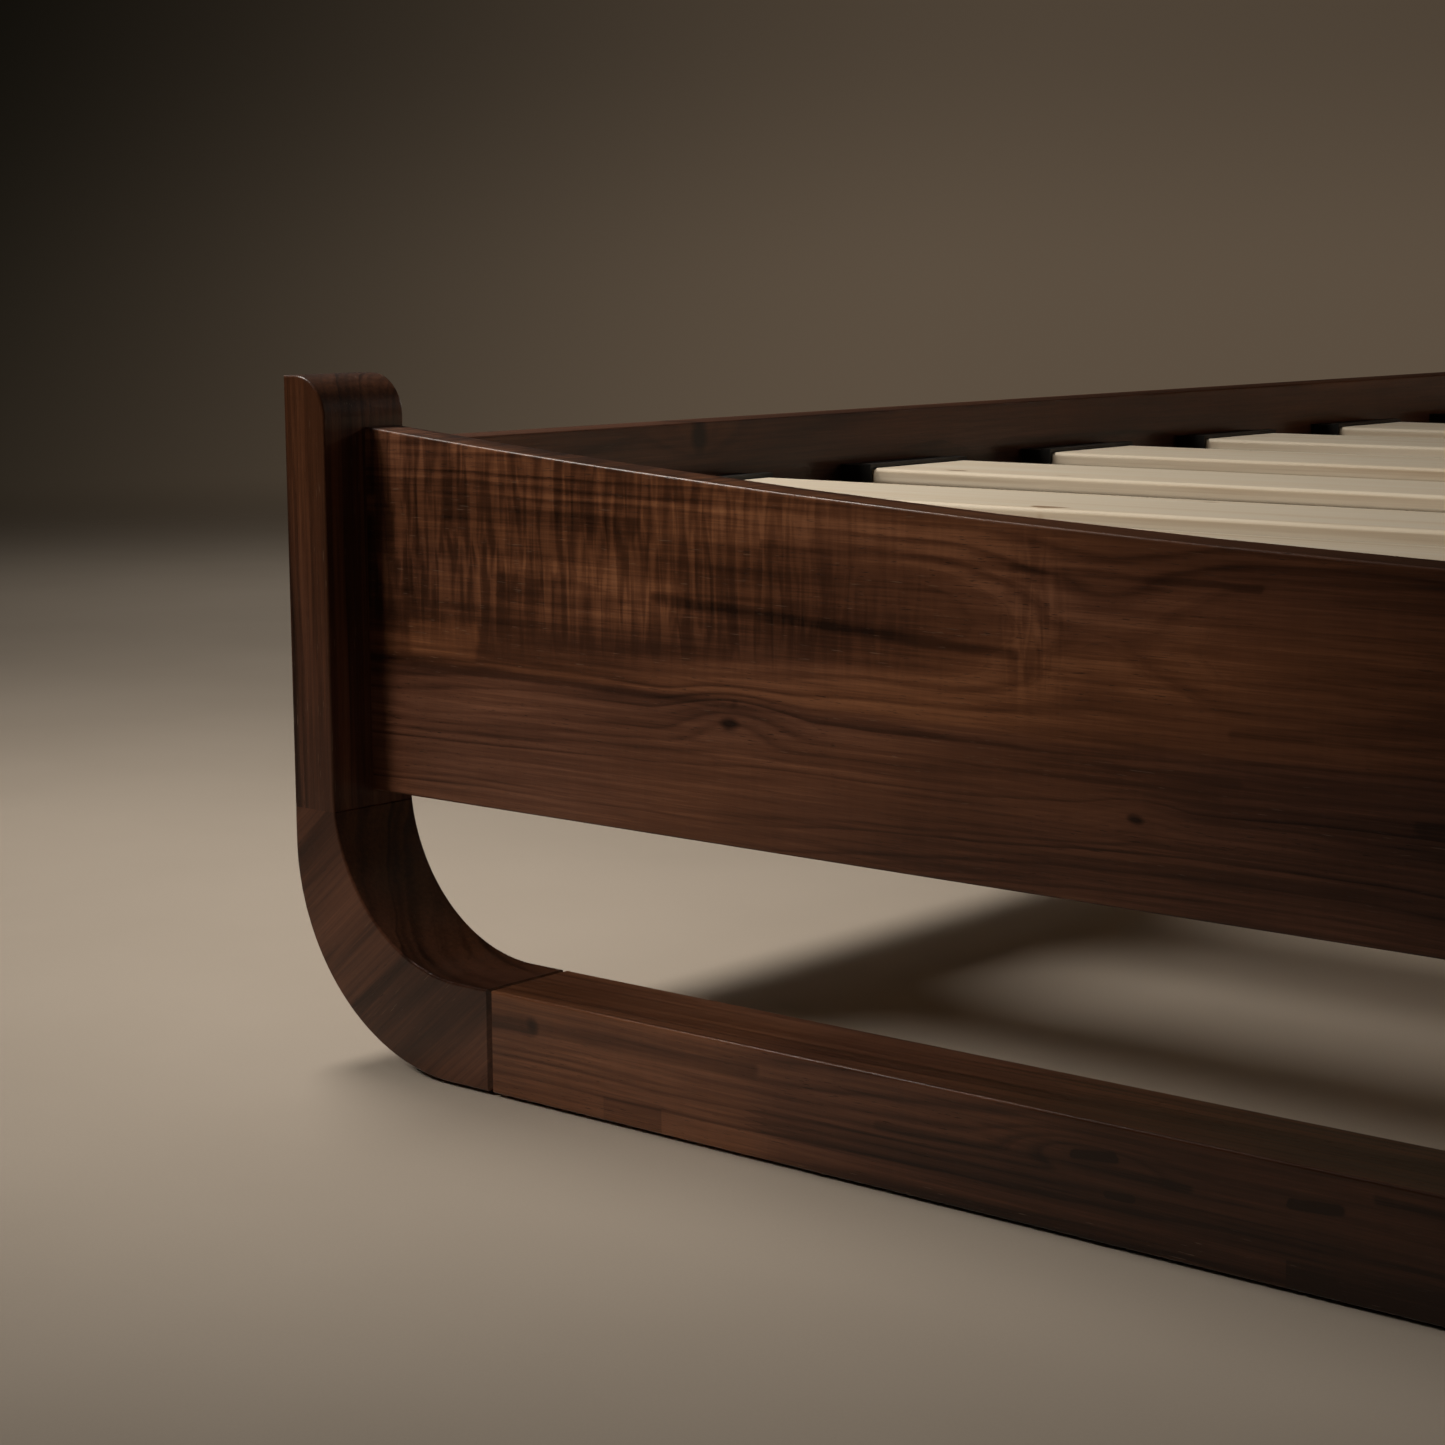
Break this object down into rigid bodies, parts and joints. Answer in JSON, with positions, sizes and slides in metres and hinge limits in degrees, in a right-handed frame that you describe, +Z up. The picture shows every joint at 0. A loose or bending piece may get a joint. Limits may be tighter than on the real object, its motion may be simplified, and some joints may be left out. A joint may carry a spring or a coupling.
{
  "type": "sleigh bed",
  "caption": "Low queen-size sleigh bed: walnut sled end frames with a hollowed foot rail, side rails, a tall headboard and a slatted base on a centre beam.",
  "frame": {"origin": "on the floor, under the middle of the bed", "axes": "+X across the bed to the right as seen from the foot, +Y from foot to head, +Z up"},
  "size_m": [1.618, 2.169, 0.9],
  "materials": {
    "walnut": "satin lacquer over figured dark walnut",
    "slat_wood": "pale layered softwood, sanded, unlacquered",
    "frame_pine": "planed pine, unlacquered",
    "dowel_wood": "plain beech",
    "holder_plastic": "moulded dark grey, matt",
    "pad_felt": "dense brown felt",
    "black_steel": "black powder coat",
    "zinc_steel": "bright zinc plate",
    "foot_plastic": "moulded black foot on a plated stud"
  },
  "bodies": {
    "bed": {"foot_post_left": "walnut", "foot_post_right": "walnut", "foot_bend_left": "walnut", "foot_bend_right": "walnut", "foot_runner": "walnut", "foot_rail": "walnut", "head_post_left": "walnut", "head_post_right": "walnut", "head_bend_left": "walnut", "head_bend_right": "walnut", "head_runner": "walnut", "head_rail": "walnut", "headboard_board_1": "walnut", "headboard_board_2": "walnut", "headboard_board_3": "walnut", "side_rail_left": "walnut", "side_rail_right": "walnut", "ledger_left": "walnut", "ledger_right": "walnut", "slat_01": "slat_wood", "slat_02": "slat_wood", "slat_03": "slat_wood", "slat_04": "slat_wood", "slat_05": "slat_wood", "slat_06": "slat_wood", "slat_07": "slat_wood", "slat_08": "slat_wood", "slat_09": "slat_wood", "slat_10": "slat_wood", "slat_11": "slat_wood", "slat_12": "slat_wood", "centre_beam": "frame_pine", "centre_leg_front": "frame_pine", "centre_leg_rear": "frame_pine", "foot_sled_dowels": "dowel_wood", "head_sled_dowels": "dowel_wood", "leg_dowels": "dowel_wood", "headboard_splines": "dowel_wood", "slat_holders_left": "holder_plastic", "slat_holders_right": "holder_plastic", "foot_floor_pads": "pad_felt", "head_floor_pads": "pad_felt", "beam_stirrup_foot": "black_steel", "beam_stirrup_head": "black_steel", "corner_brackets": "black_steel", "bracket_bolts": "zinc_steel", "rail_inserts": "zinc_steel", "ledger_screws": "zinc_steel", "stirrup_screws": "zinc_steel", "leg_inserts": "zinc_steel"},
    "front_foot": {"levelling_foot_front": "foot_plastic"},
    "rear_foot": {"levelling_foot_rear": "foot_plastic"}
  },
  "joints": [
    {"name": "front_foot_screw", "type": "slide", "parent": "bed", "child": "front_foot", "axis": [0, 0, 1], "range_m": [-0.008, 0.01]},
    {"name": "rear_foot_screw", "type": "slide", "parent": "bed", "child": "rear_foot", "axis": [0, 0, 1], "range_m": [-0.008, 0.01]}
  ]
}
